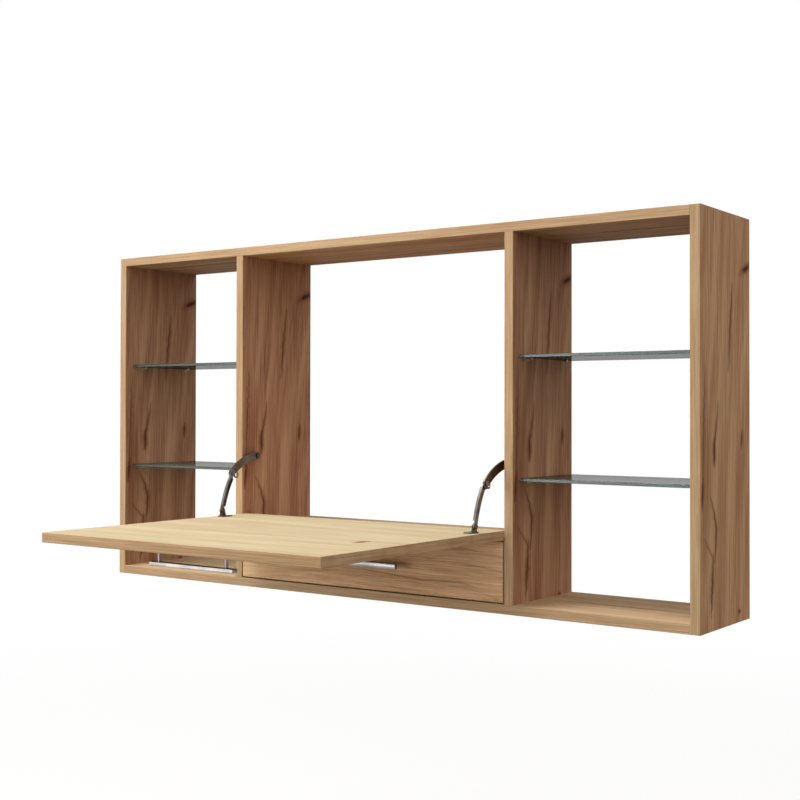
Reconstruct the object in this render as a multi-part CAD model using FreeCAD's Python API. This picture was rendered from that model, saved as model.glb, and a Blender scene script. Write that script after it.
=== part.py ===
import FreeCAD, Part
import math
import os

# Fold down wall desk, in millimetres: a wall-hung cabinet with two side bays of glass shelves,
# an open centre bay closed by a drop front flap that is the writing surface, and one drawer.
# X runs to the right, Y into the wall and Z up. The wall is the plane y = 0, x = 0 is the middle,
# and z = 0 is the height of the wall screws. The flap is modelled lying open.

Vector = FreeCAD.Vector
X_AXIS = Vector(1, 0, 0)
Y_AXIS = Vector(0, 1, 0)
Z_AXIS = Vector(0, 0, 1)
SIDES = (-1, 1)

# ---- driving dimensions ----
cabinet_width = 1150.0
cabinet_height = 600.0
cabinet_depth = 195.0
board = 15.0                   # thickness of every decor board
edge_round = 0.8               # rounded arrises of the banded edges
side_bay_width = 280.0         # clear width between a side panel and its divider
hang_drop = 60.0               # wall screws below the top of the cabinet
same_body_gap = 0.05           # radial room of a glued or pressed piece in its bore
moving_gap = 0.3               # room between pieces that move past each other
overcut = 1.0                  # how far a cutting shape runs past the face that it cuts

drawer_gap = 2.0               # shadow gap round the drawer front
drawer_front_height = 93.0
sweep_gap = 0.8                # room between the turning flap heel and the drawer front
flap_heel = 5.5                # from the pivot axis back to the rear edge of the flap
flap_side_gap = 1.5
flap_top_gap = 1.5
deck_drop = 0.6                # the deck lies this far under the underside of the open flap
deck_front_gap = 1.0           # room between the turning flap heel and the front of the deck
edge_band = 1.0                # thickness of the band glued to the free edge of the flap

pivot_pin_radius = 4.0
pivot_pin_grip = 28.0          # length of the pin inside the flap
pivot_bush_wall = 2.0
pivot_bush_depth = 10.0
pivot_flange = 1.0
pivot_flange_radius = 7.5
pivot_pin_end_gap = 1.0
running_fit = 0.05             # radial clearance of a pin that turns in its bush

shelf_count = 2                # glass shelves in each side bay
shelf_glass = 5.0
shelf_setback = 18.0           # front edge of the glass behind the front of the cabinet
shelf_rear_gap = 3.0
shelf_side_gap = 1.0
shelf_pin_radius = 2.5
shelf_pin_grip = 9.0
shelf_pin_reach = 8.0
shelf_pin_inset = 28.0         # from the front or rear edge of the glass to its pin
shelf_collar_radius = 4.0
shelf_collar = 1.2

dowel_radius = 4.0
dowel_length = 30.0
dowel_seat = 11.0              # blind depth of a dowel in the face of a board
dowel_inset = 30.0             # from the front and rear edges to the dowels
cam_radius = 7.5
cam_depth = 12.0
cam_setback = 34.0             # centre of the cam from the end of its board
cam_inset = 65.0               # from the front and rear edges to the cams
cam_bolt_radius = 3.0
cam_bolt_seat = 10.5
cam_bolt_short = 2.0           # the bolt's head ends this far from the middle of its cam
cam_slot_width = 2.0
cam_slot_depth = 2.0
cam_slot_reach = 4.5
long_screw_radius = 3.0
long_screw_length = 50.0
long_screw_head = 5.0
long_screw_countersink = 3.0
long_screw_clear = 13.0        # between them and the runner screws that cross their line

hanger_width = 12.6
hanger_length = 46.0
hanger_plate = 1.6
keyhole_entry_radius = 4.0
keyhole_slot_radius = 2.2
keyhole_rise = 12.0
hanger_pocket_depth = 12.0
hanger_pocket_width = 9.6
hanger_pocket_margin = 2.0
hanger_screw_radius = 1.5
hanger_screw_head = 3.0
hanger_screw_length = 14.0
hanger_screw_margin = 5.0

handle_length = 160.0
handle_pitch = 128.0
handle_height = 10.6
handle_bar = 6.0
handle_standoff = 18.5         # clear space between the bar and the board
handle_round = 1.2
handle_post_radius = 2.3
handle_tenon_radius = 1.6
handle_screw_radius = 1.6
handle_screw_bite = 8.0
handle_screw_end_gap = 1.0
handle_screw_head_radius = 4.0
handle_screw_head = 2.2
flap_handle_inset = 46.0       # handle centre from the free edge of the flap
drawer_handle_drop = 2.0       # handle centre below the middle of the drawer front

stay_foot_reach = 73.5         # foot pivot from the flap pivot, towards the free edge
stay_foot_rise = 10.0          # foot pivot above the top of the flap
stay_wall_setback = 31.0       # wall pivot behind the front of the cabinet
stay_wall_rise = 110.0         # wall pivot above the flap pivot
lower_arm_length = 69.5
upper_arm_length = 74.8
upper_arm_width = 14.0
upper_arm_plate = 2.2
upper_arm_arch = 6.0           # rise of the arched arm over its chord
lower_arm_width = 9.0
lower_arm_web = 1.6
lower_arm_channel = 4.0
lower_arm_arch = 3.4
lower_arm_flange = 1.2         # thickness of the channel's two flanges
hook_radius = 7.0
hook_mouth_reach = 16.0
hook_tail_radius = 4.2
hook_tail_reach = 5.4          # centre of the tail's round end from the joint
hook_tail_turn = 46.0          # tail of the hook, turned from the outward direction of the arm
joint_eye_radius = 6.0
foot_eye_radius = 5.0
flat_end_radius = 9.6          # the channel is flat this far round its pivots
stay_spacer = 8.0              # length of the bush that holds the upper arm off the divider
stay_spacer_radius = 5.0
stay_rivet_radius = 2.5
stay_rivet_head = 1.2
stay_rivet_head_radius = 4.4
stay_button_radius = 3.8
stay_notch_turn = 130.0        # mouth of the hook, turned from the outward direction of the arm
stay_screw_grip = 11.0
stay_screw_head = 1.6
stay_screw_slot = 0.7
stay_screw_slot_width = 1.0
ring_radius = 5.8
ring_hole_radius = 3.2
ring_offset = 9.6
ring_dip = 20.0                # degrees below the level at which the ring stands off the joint
foot_plate = 2.0
foot_plate_width = 12.5
foot_plate_length = 23.0
foot_ear_root = 16.0
foot_ear_radius = 5.2
foot_screw_radius = 1.8
foot_screw_head = 3.0
foot_screw_length = 12.0
foot_screw_spread = 7.5
foot_screw_offset = 7.5        # from the near face of the ear

runner_room = 12.5             # between the drawer box and the divider
runner_setback = 2.0           # fixed runner behind the drawer front
runner_sheet = 1.2
runner_length = 160.0
runner_flange = 10.5
roller_radius = 5.5
roller_width = 4.6
roller_axle_radius = 2.0
roller_groove = 0.8            # depth of the groove turned into each face
roller_rim = 1.0
roller_inset = 9.0             # roller centre from the end of its runner
carcass_roller_near = 3.4      # near face of the front rollers from the divider
drawer_roller_near = 4.4       # near face of the rear rollers from the divider
axle_head = 0.8
axle_head_radius = 3.2
runner_tab_drop = 4.0          # tab of the moving runner below the centre of its roller
moving_flange_gap = 2.6        # outer edge of the moving flange from the divider
moving_web_height = 20.0
runner_rise = 1.0              # lower edge of the fixed runner above that of the drawer box
runner_screw_radius = 1.8
runner_screw_head = 3.0
runner_screw_pan = 0.9
runner_screw_length = 11.0
drawer_screw_bite = 9.0
runner_screw_inset = 32.0      # first screw behind the front end of the runner
runner_screw_pitch = 96.0
runner_screw_shift = -6.0      # the moving runner's screws lie this much further forward
drawer_board = 12.0
drawer_bottom_sheet = 4.0
drawer_bottom_rise = 8.0       # underside of the bottom sheet above the lower edge of the sides
drawer_groove = 6.0
drawer_side_height = 62.0
drawer_floor_gap = 9.0         # lower edge of the drawer box above the bottom panel
drawer_rear_gap = 9.0
box_screw_radius = 1.8
box_screw_length = 34.0
box_screw_bite = 10.0          # in the drawer front
box_screw_head_radius = 3.0
box_screw_countersink = 2.0
box_screw_low = 20.0           # lower screws above the lower edge of the sides
box_screw_high = 8.0           # upper screws below the upper edge of the sides
drawer_bottom_play = 0.5

catch_radius = 5.0
catch_magnet = 6.0
catch_disc = 3.0

# ---- places worked out from them ----
half_width = cabinet_width / 2
front = -cabinet_depth
top = hang_drop
base = top - cabinet_height
bay_outer = half_width - board
divider_outer = bay_outer - side_bay_width
divider_inner = divider_outer - board
pivot_y = front + board / 2
heel_sweep = math.hypot(board / 2, flap_heel)
drawer_front_base = base + board + drawer_gap
drawer_front_top = drawer_front_base + drawer_front_height
pivot_z = drawer_front_top + sweep_gap + heel_sweep
flap_under = pivot_z - board / 2
flap_top = pivot_z + board / 2
flap_reach = top - board - flap_top_gap - pivot_z
flap_free_edge = pivot_y - flap_reach
flap_half = divider_inner - flap_side_gap
deck_top = flap_under - deck_drop
deck_front = pivot_y + heel_sweep + deck_front_gap
shelf_front = front + shelf_setback
shelf_back = -shelf_rear_gap
shelf_pitch = (cabinet_height - 2 * board) / (shelf_count + 1)
drawer_half = divider_inner - drawer_gap
box_half = divider_inner - runner_room
box_base = base + board + drawer_floor_gap
box_front = front + board
box_back = -drawer_rear_gap
runner_front = box_front + runner_setback
runner_base = box_base + runner_rise
roller_z = runner_base + runner_sheet + moving_gap + roller_radius
moving_flange = roller_z + roller_radius + moving_gap
runner_top = moving_flange + 2 * (runner_sheet + moving_gap)


def place(side, x):
    """Mirrors a distance from the middle plane to the left (-1) or the right (1)."""
    return side * x


def block(x_range, y_range, z_range, rounding=0.0):
    low = Vector(min(x_range), min(y_range), min(z_range))
    high = Vector(max(x_range), max(y_range), max(z_range))
    size = high - low
    shape = Part.makeBox(size.x, size.y, size.z, low)
    if rounding:
        shape = shape.makeFillet(rounding, shape.Edges)
    return shape


def banded_board(x_range, y_range, z_range, ways):
    """Board with rounded arrises on its front edge band; the sawn ends that butt stay square."""
    shape = block(x_range, y_range, z_range)
    arrises = []
    for edge in shape.Edges:
        start, end = (vertex.Point for vertex in edge.Vertexes)
        in_front = max(start.y, end.y) < min(y_range) + edge_round
        along = (end - start).normalize()
        if in_front and any(abs(along.dot(way)) > 0.5 for way in ways):
            arrises.append(edge)
    return shape.makeFillet(edge_round, arrises)


def rod(radius, length, start, direction):
    return Part.makeCylinder(radius, length, start, direction)


def cone(start_radius, end_radius, length, start, direction):
    return Part.makeCone(start_radius, end_radius, length, start, direction)


def cut(shape, tools):
    return shape.cut(tools) if tools else shape


def fuse(shapes):
    joined = shapes[0].multiFuse(shapes[1:]).removeSplitter()
    return joined.Solids[0] if len(joined.Solids) == 1 else joined


def save(node, shape):
    solids = shape if isinstance(shape, list) else [shape]
    whole = solids[0] if len(solids) == 1 else Part.makeCompound(solids)
    whole.exportStep(os.path.join("parts", node + ".step"))


# ---- joints between the boards ----
def depth_rows(inset):
    """The front and rear rows of fittings across the depth of the cabinet."""
    return (front + inset, -inset)


def corner_dowels(grow=0.0):
    """Dowels of the four corners, lying along X from a side panel into the top or bottom panel."""
    pieces = []
    for side in SIDES:
        for z in (base + board / 2, top - board / 2):
            for y in depth_rows(dowel_inset):
                start = Vector(place(side, bay_outer + dowel_seat), y, z)
                pieces.append(rod(dowel_radius + grow, dowel_length, start, X_AXIS * -side))
    return pieces


def deck_dowels(grow=0.0):
    """Dowels between the dividers and the ends of the deck."""
    pieces = []
    for side in SIDES:
        for y in (deck_front + dowel_inset, -dowel_inset):
            start = Vector(place(side, divider_inner + dowel_seat), y, deck_top - board / 2)
            pieces.append(rod(dowel_radius + grow, dowel_length, start, X_AXIS * -side))
    return pieces


def cam_sites():
    """Each cam fitting: its side, the board end it draws up, its depth, height and open face."""
    sites = []
    for side in SIDES:
        for y in depth_rows(cam_inset):
            sites.append((side, bay_outer, y, base + board / 2, -1))
            sites.append((side, bay_outer, y, top - board / 2, 1))
        for y in (deck_front + cam_inset, -cam_inset):
            sites.append((side, divider_inner, y, deck_top - board / 2, -1))
    return sites


def cam_pocket(site, grow=0.0):
    side, end, y, z, face = site
    mouth = Vector(place(side, end - cam_setback), y, z + face * board / 2)
    return rod(cam_radius + grow, cam_depth + grow, mouth, Z_AXIS * -face)


def cam_bolt_bore(site, grow=0.0):
    side, end, y, z, face = site
    start = Vector(place(side, end + cam_bolt_seat), y, z)
    length = cam_bolt_seat + cam_setback - cam_bolt_short
    return rod(cam_bolt_radius + grow, length, start, X_AXIS * -side)


def cam_housing(site):
    """Zinc cam with the bore that takes the bolt head and a cross slot in its face."""
    side, end, y, z, face = site
    body = cam_pocket(site)
    x = place(side, end - cam_setback)
    mouth = z + face * board / 2
    slot = (mouth - face * cam_slot_depth, mouth)
    half = cam_slot_width / 2
    reach = cam_slot_reach
    tools = [
        cam_bolt_bore(site, same_body_gap),
        block((x - reach, x + reach), (y - half, y + half), slot),
        block((x - half, x + half), (y - reach, y + reach), slot),
    ]
    return cut(body, tools)


def long_screw(x, y, face_z, direction, grow=0.0):
    """Confirmat-type screw through the top or bottom panel into the end of a divider."""
    start = Vector(x, y, face_z)
    shank = rod(long_screw_radius + grow, long_screw_length + grow, start, direction)
    head = cone(long_screw_head + grow, long_screw_radius + grow, long_screw_countersink, start, direction)
    return fuse([shank, head])


def long_screws(grow=0.0):
    pieces = []
    middle = (divider_inner + divider_outer) / 2
    front_runner_screw, rear_runner_screw = runner_screw_places()
    for side in SIDES:
        for y in (front_runner_screw + long_screw_clear, rear_runner_screw - long_screw_clear):
            pieces.append(long_screw(place(side, middle), y, top, Z_AXIS * -1, grow))
            pieces.append(long_screw(place(side, middle), y, base, Z_AXIS, grow))
    return pieces


# ---- wall hangers ----
def hanger_places():
    side_middle = (half_width + bay_outer) / 2
    divider_middle = (divider_inner + divider_outer) / 2
    return [-side_middle, -divider_middle, divider_middle, side_middle]


def hanger_screw_heights():
    low = keyhole_rise / 2 - hanger_length / 2 + hanger_screw_margin
    return (low, keyhole_rise - low)


def keyhole(x, thickness):
    """Entry hole with the narrow slot above it, through the plate and on into the pocket."""
    entry = rod(keyhole_entry_radius, thickness, Vector(x, 0, 0), Y_AXIS * -1)
    slot_end = rod(keyhole_slot_radius, thickness, Vector(x, 0, keyhole_rise), Y_AXIS * -1)
    slot = block((x - keyhole_slot_radius, x + keyhole_slot_radius), (-thickness, 0), (0, keyhole_rise))
    return [entry, slot_end, slot]


def hanger_screw(x, z, grow=0.0):
    head = cone(hanger_screw_head + grow, hanger_screw_radius + grow, hanger_plate, Vector(x, 0, z), Y_AXIS * -1)
    shank = rod(hanger_screw_radius + grow, hanger_screw_length + grow, Vector(x, 0, z), Y_AXIS * -1)
    return fuse([head, shank])


def hanger_plate_piece(x):
    middle = keyhole_rise / 2
    half = hanger_length / 2
    width = hanger_width / 2
    plate = block((x - width, x + width), (-hanger_plate, 0), (middle - half, middle + half))
    screws = [hanger_screw(x, z, same_body_gap) for z in hanger_screw_heights()]
    return cut(plate, keyhole(x, hanger_plate) + screws)


def hanger_recess(x):
    """The plate's shallow seat in the rear edge and the deep pocket behind its keyhole."""
    middle = keyhole_rise / 2
    half = hanger_length / 2 + same_body_gap
    width = hanger_width / 2 + same_body_gap
    pocket = hanger_pocket_width / 2
    low = -keyhole_entry_radius - hanger_pocket_margin
    high = keyhole_rise + keyhole_entry_radius + hanger_pocket_margin
    seat = block((x - width, x + width), (-hanger_plate, 0), (middle - half, middle + half))
    deep = block((x - pocket, x + pocket), (-hanger_pocket_depth, 0), (low, high))
    screws = [hanger_screw(x, z, same_body_gap) for z in hanger_screw_heights()]
    return [seat, deep] + screws


# ---- glass shelves and their pins ----
def shelf_heights():
    """Undersides of the glass shelves of one bay."""
    return [base + board + shelf_pitch * (n + 1) - shelf_glass / 2 for n in range(shelf_count)]


def shelf_pin_sites():
    """Each pin: the face it stands out of, the way it points, its depth and its height."""
    sites = []
    for side in SIDES:
        for z in shelf_heights():
            for y in (shelf_front + shelf_pin_inset, shelf_back - shelf_pin_inset):
                sites.append((place(side, bay_outer), -side, y, z))
                sites.append((place(side, divider_outer), side, y, z))
    return sites


def shelf_pin_bore(site):
    face, way, y, z = site
    start = Vector(face - way * (shelf_pin_grip + same_body_gap), y, z)
    return rod(shelf_pin_radius + same_body_gap, shelf_pin_grip + same_body_gap, start, X_AXIS * way)


def shelf_pin(site):
    """Steel pin whose standing-out half is milled flat under the glass, with a collar."""
    face, way, y, z = site
    length = shelf_pin_grip + shelf_pin_reach
    shank = rod(shelf_pin_radius, length, Vector(face - way * shelf_pin_grip, y, z), X_AXIS * way)
    collar = rod(shelf_collar_radius, shelf_collar, Vector(face, y, z), X_AXIS * way)
    room = shelf_collar_radius + overcut
    above = block((face, face + way * (shelf_pin_reach + overcut)), (y - room, y + room), (z, z + room))
    return cut(fuse([shank, collar]), [above])


def glass_shelf(side, z):
    inner = divider_outer + shelf_side_gap
    outer = bay_outer - shelf_side_gap
    x_range = (place(side, inner), place(side, outer))
    return block(x_range, (shelf_front, shelf_back), (z, z + shelf_glass), edge_round)


# ---- carcass boards ----
def side_panel(side):
    x_range = (place(side, bay_outer), place(side, half_width))
    panel = banded_board(x_range, (front, 0), (base, top), (X_AXIS, Z_AXIS))
    tools = corner_dowels(same_body_gap) + [cam_bolt_bore(s, same_body_gap) for s in cam_sites()]
    tools += [shelf_pin_bore(s) for s in shelf_pin_sites() if abs(s[0]) == bay_outer]
    tools += hanger_recess(place(side, (half_width + bay_outer) / 2))
    return cut(panel, tools)


def level_panel(z_low):
    panel = banded_board((-bay_outer, bay_outer), (front, 0), (z_low, z_low + board), (X_AXIS,))
    tools = corner_dowels(same_body_gap) + long_screws(same_body_gap)
    for site in cam_sites():
        tools += [cam_pocket(site, same_body_gap), cam_bolt_bore(site, same_body_gap)]
    return cut(panel, tools)


def top_panel():
    return cut(level_panel(top - board), [catch_magnet_piece(same_body_gap)])


def divider(side):
    """Inner upright with the bores for deck, shelves, flap pivot, stay and hanger."""
    x_range = (place(side, divider_inner), place(side, divider_outer))
    panel = banded_board(x_range, (front, 0), (base + board, top - board), (Z_AXIS,))
    tools = deck_dowels(same_body_gap) + [cam_bolt_bore(s, same_body_gap) for s in cam_sites()]
    tools += [shelf_pin_bore(s) for s in shelf_pin_sites() if abs(s[0]) == divider_outer]
    tools += long_screws(same_body_gap)
    tools += hanger_recess(place(side, (divider_inner + divider_outer) / 2))
    tools += [pivot_bush_bore(side), stay_screw_bore(side)]
    tools += [runner_screw(side, y, same_body_gap) for y in runner_screw_places()]
    return cut(panel, tools)


def desk_deck():
    z_range = (deck_top - board, deck_top)
    deck = banded_board((-divider_inner, divider_inner), (deck_front, 0), z_range, (X_AXIS,))
    tools = deck_dowels(same_body_gap)
    for site in cam_sites():
        tools += [cam_pocket(site, same_body_gap), cam_bolt_bore(site, same_body_gap)]
    return cut(deck, tools)


# ---- flap, its pivots and its catch ----
def pivot_pin(side, grow=0.0):
    start = Vector(place(side, flap_half - pivot_pin_grip), pivot_y, pivot_z)
    length = pivot_pin_grip + flap_side_gap + pivot_bush_depth - pivot_pin_end_gap
    return rod(pivot_pin_radius + grow, length, start, X_AXIS * side)


def pivot_bush(side):
    """Flanged nylon bush pressed into the divider, with the flange on its inner face."""
    face = Vector(place(side, divider_inner), pivot_y, pivot_z)
    sleeve = rod(pivot_pin_radius + pivot_bush_wall, pivot_bush_depth, face, X_AXIS * side)
    flange = rod(pivot_flange_radius, pivot_flange, face, X_AXIS * -side)
    inside = face - X_AXIS * (side * pivot_flange)
    bore = rod(pivot_pin_radius + running_fit, pivot_bush_depth + pivot_flange, inside, X_AXIS * side)
    return cut(fuse([sleeve, flange]), [bore])


def pivot_bush_bore(side):
    face = Vector(place(side, divider_inner), pivot_y, pivot_z)
    radius = pivot_pin_radius + pivot_bush_wall + same_body_gap
    return rod(radius, pivot_bush_depth + same_body_gap, face, X_AXIS * side)


def catch_disc_piece(grow=0.0):
    """Steel disc let into the free edge of the flap, under the edge band."""
    start = Vector(0, flap_free_edge + edge_band, pivot_z)
    return rod(catch_radius + grow, catch_disc + grow, start, Y_AXIS)


def catch_magnet_piece(grow=0.0):
    """Magnet pressed into the underside of the top panel, over the closed flap's edge."""
    return rod(catch_radius + grow, catch_magnet + grow, Vector(0, pivot_y, top - board), Z_AXIS)


def around_flap(y_front, y_rear):
    """Cutting block over the whole width and thickness of the flap."""
    reach = flap_half + overcut
    return block((-reach, reach), (y_front, y_rear), (flap_under - overcut, flap_top + overcut))


def desk_flap():
    board_front = flap_free_edge + edge_band
    flap = block(
        (-flap_half, flap_half), (flap_free_edge, pivot_y + flap_heel), (flap_under, flap_top), edge_round
    )
    tools = [around_flap(flap_free_edge - overcut, board_front), catch_disc_piece(same_body_gap)]
    tools += [pivot_pin(side, same_body_gap) for side in SIDES]
    tools += [handle_screw(flap_handle(), end, same_body_gap) for end in SIDES]
    tools += [foot_screw(side, end, same_body_gap) for side in SIDES for end in SIDES]
    return cut(flap, tools)


def flap_edge_band():
    board_front = flap_free_edge + edge_band
    flap = block(
        (-flap_half, flap_half), (flap_free_edge, pivot_y), (flap_under, flap_top), edge_round
    )
    return cut(flap, [around_flap(board_front, pivot_y + overcut)])


# ---- bar handles ----
def flap_handle():
    """Where the flap's handle stands: centre on the board's outer face and the way it stands out."""
    return (Vector(0, flap_free_edge + flap_handle_inset, flap_under), Z_AXIS * -1, Y_AXIS)


def drawer_handle():
    height = (drawer_front_base + drawer_front_top) / 2 - drawer_handle_drop
    return (Vector(0, front, height), Y_AXIS * -1, Z_AXIS)


def oriented_block(centre, size, out, across):
    """A block centred on a point, with its sizes along X, along out and along across."""
    half_x, half_out, half_across = (value / 2 for value in size)
    corner = out * half_out + across * half_across
    low = centre - X_AXIS * half_x - corner
    high = centre + X_AXIS * half_x + corner
    return block((low.x, high.x), (low.y, high.y), (low.z, high.z), handle_round)


def handle_bar_piece(seat):
    face, out, across = seat
    centre = face + out * (handle_standoff + handle_bar / 2)
    bar = oriented_block(centre, (handle_length, handle_bar, handle_height), out, across)
    tenons = [handle_tenon(seat, end, same_body_gap) for end in SIDES]
    return cut(bar, tenons)


def handle_tenon(seat, end, grow=0.0):
    """The post's thin end, riveted into the back of the bar."""
    face, out, across = seat
    start = face + X_AXIS * (end * handle_pitch / 2) + out * handle_standoff
    return rod(handle_tenon_radius + grow, handle_bar / 2 + grow, start, out)


def handle_post(seat, end):
    face, out, across = seat
    start = face + X_AXIS * (end * handle_pitch / 2)
    post = rod(handle_post_radius, handle_standoff, start, out)
    depth = handle_screw_bite + handle_screw_end_gap
    thread = rod(handle_screw_radius + same_body_gap, depth, start, out)
    return cut(fuse([post, handle_tenon(seat, end)]), [thread])


def handle_screw(seat, end, grow=0.0):
    """Machine screw from the inner face of the board into the post, its head let in flush."""
    face, out, across = seat
    start = face + X_AXIS * (end * handle_pitch / 2) - out * board
    shank = rod(handle_screw_radius + grow, board + handle_screw_bite, start, out)
    head = cone(handle_screw_head_radius + grow, handle_screw_radius + grow, handle_screw_head, start, out)
    return fuse([shank, head])


# ---- folding stays ----
def stay_foot():
    """Foot pivot in the plane of the stay, as (y, z)."""
    return (pivot_y - stay_foot_reach, flap_top + stay_foot_rise)


def stay_wall():
    return (front + stay_wall_setback, pivot_z + stay_wall_rise)


def stay_joint():
    """Joint of the two arms: where circles round the foot and the wall pivot cross, on the room side."""
    foot = stay_foot()
    wall = stay_wall()
    span = math.dist(foot, wall)
    along = (lower_arm_length ** 2 - upper_arm_length ** 2 + span ** 2) / (2 * span)
    aside = math.sqrt(lower_arm_length ** 2 - along ** 2)
    step_y = (wall[0] - foot[0]) / span
    step_z = (wall[1] - foot[1]) / span
    return (foot[0] + along * step_y - aside * step_z, foot[1] + along * step_z + aside * step_y)


def stay_layer(side, inner, outer):
    """X range of a layer of the stay, given its distances from the inner face of the divider."""
    return (place(side, divider_inner - inner), place(side, divider_inner - outer))


def disc(x_range, centre, radius):
    start = Vector(min(x_range), centre[0], centre[1])
    return rod(radius, abs(x_range[1] - x_range[0]), start, X_AXIS)


def arched_strip(x_range, start, end, width, arch):
    """Flat strip that follows an arc from one pivot to the next, bulging to the room side."""
    span = math.dist(start, end)
    step = ((end[0] - start[0]) / span, (end[1] - start[1]) / span)
    normal = (-step[1], step[0])
    middle = ((start[0] + end[0]) / 2, (start[1] + end[1]) / 2)
    radius = (span ** 2 / 4 + arch ** 2) / (2 * arch)
    centre = tuple(middle[i] - normal[i] * (radius - arch) for i in range(2))
    x = min(x_range)

    def rim(point, offset):
        away = ((point[0] - centre[0]) / radius, (point[1] - centre[1]) / radius)
        return Vector(x, point[0] + away[0] * offset, point[1] + away[1] * offset)

    crown = tuple(middle[i] + normal[i] * arch for i in range(2))
    half = width / 2
    outer = Part.Arc(rim(start, half), rim(crown, half), rim(end, half)).toShape()
    inner = Part.Arc(rim(end, -half), rim(crown, -half), rim(start, -half)).toShape()
    first = Part.makeLine(rim(start, -half), rim(start, half))
    last = Part.makeLine(rim(end, half), rim(end, -half))
    outline = Part.Wire([first, outer, last, inner])
    return Part.Face(outline).extrude(X_AXIS * abs(x_range[1] - x_range[0]))


def upper_arm_layer(side):
    return stay_layer(side, stay_spacer, stay_spacer + upper_arm_plate)


def lower_arm_layer(side, depth):
    near = stay_spacer + upper_arm_plate + moving_gap
    return stay_layer(side, near, near + depth)


def bar_from_joint(layer, reach, radius, turn):
    """Round-ended bar from the joint, turned from the outward direction of the upper arm."""
    y, z = stay_joint()
    wall = stay_wall()
    way = math.atan2(z - wall[1], y - wall[0]) + math.radians(turn)
    bar = block(layer, (y, y + reach), (z - radius, z + radius))
    bar.rotate(Vector(0, y, z), X_AXIS, math.degrees(way))
    tip = (y + reach * math.cos(way), z + reach * math.sin(way))
    return [disc(layer, (y, z), radius), bar, disc(layer, tip, radius)]


def hook_notch(side):
    """Open notch that drops over the joint pin; its mouth faces the way the pin leaves."""
    radius = stay_rivet_radius + moving_gap
    return bar_from_joint(upper_arm_layer(side), hook_mouth_reach, radius, stay_notch_turn)


def hook_tail(side):
    """Lower lip of the hook, drawn out to a rounded tail."""
    return bar_from_joint(upper_arm_layer(side), hook_tail_reach, hook_tail_radius, hook_tail_turn)


def upper_stay_arm(side):
    layer = upper_arm_layer(side)
    joint = stay_joint()
    wall = stay_wall()
    strip = arched_strip(layer, joint, wall, upper_arm_width, upper_arm_arch)
    heads = [disc(layer, joint, hook_radius), disc(layer, wall, upper_arm_width / 2)]
    arm = fuse([strip] + heads + hook_tail(side))
    pivot = disc(layer, wall, stay_rivet_radius + running_fit)
    return cut(arm, [pivot] + hook_notch(side))


def ring_centre():
    joint = stay_joint()
    dip = math.radians(ring_dip)
    return (joint[0] + ring_offset * math.cos(dip), joint[1] - ring_offset * math.sin(dip))


def lower_stay_arm(side):
    """Pressed channel whose flat ends carry the foot pivot, the joint pin and the release ring."""
    web = lower_arm_layer(side, lower_arm_web)
    channel = lower_arm_layer(side, lower_arm_channel)
    foot = stay_foot()
    joint = stay_joint()
    strip = arched_strip(channel, foot, joint, lower_arm_width, lower_arm_arch)
    hollow_layer = (web[1], channel[1])
    groove = arched_strip(hollow_layer, foot, joint, lower_arm_width - 2 * lower_arm_flange, lower_arm_arch)
    flat_ends = [disc(hollow_layer, pivot, flat_end_radius) for pivot in (foot, joint)]
    body = cut(strip, [groove] + flat_ends)
    heads = [
        disc(web, foot, foot_eye_radius),
        disc(web, joint, joint_eye_radius),
        disc(web, ring_centre(), ring_radius),
    ]
    arm = fuse([body] + heads)
    holes = [
        disc(web, ring_centre(), ring_hole_radius),
        disc(web, foot, stay_rivet_radius + running_fit),
        disc(web, joint, stay_rivet_radius + same_body_gap),
    ]
    return cut(arm, holes)


def stay_joint_pin(side):
    """Rivet fixed in the lower arm; its far head keeps the hook of the upper arm from slipping off."""
    joint = stay_joint()
    head_end = stay_spacer - moving_gap
    web_end = stay_spacer + upper_arm_plate + moving_gap + lower_arm_web
    shank_layer = stay_layer(side, head_end, web_end)
    head_layer = stay_layer(side, head_end - stay_rivet_head, head_end)
    button_layer = stay_layer(side, web_end, web_end + stay_rivet_head)
    return fuse([
        disc(shank_layer, joint, stay_rivet_radius),
        disc(head_layer, joint, stay_rivet_head_radius),
        disc(button_layer, joint, stay_button_radius),
    ])


def stay_spacer_bush(side):
    layer = stay_layer(side, 0, stay_spacer - moving_gap)
    bush = disc(layer, stay_wall(), stay_spacer_radius)
    return cut(bush, [disc(layer, stay_wall(), stay_rivet_radius + same_body_gap)])


def stay_screw_bore(side):
    layer = stay_layer(side, -stay_screw_grip - same_body_gap, 0)
    return disc(layer, stay_wall(), stay_rivet_radius + same_body_gap)


def stay_wall_screw(side):
    """Shoulder screw that carries the upper arm, with a pan head and a slot."""
    neck = stay_spacer + upper_arm_plate + moving_gap
    shank = disc(stay_layer(side, -stay_screw_grip, neck), stay_wall(), stay_rivet_radius)
    face = neck + stay_screw_head
    head = disc(stay_layer(side, neck, face), stay_wall(), stay_rivet_head_radius)
    y, z = stay_wall()
    reach = stay_rivet_head_radius
    half = stay_screw_slot_width / 2
    slot = block(stay_layer(side, face - stay_screw_slot, face), (y - reach, y + reach), (z - half, z + half))
    return cut(fuse([shank, head]), [slot])


def foot_ear_inner():
    return stay_spacer + upper_arm_plate + moving_gap + lower_arm_web + moving_gap


def foot_screw(side, end, grow=0.0):
    y = stay_foot()[0] + end * foot_screw_spread
    x = place(side, divider_inner - foot_ear_inner() - foot_screw_offset)
    start = Vector(x, y, flap_top + foot_plate)
    head = cone(foot_screw_head + grow, foot_screw_radius + grow, foot_plate, start, Z_AXIS * -1)
    shank = rod(foot_screw_radius + grow, foot_screw_length + grow, start, Z_AXIS * -1)
    return fuse([head, shank])


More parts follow.
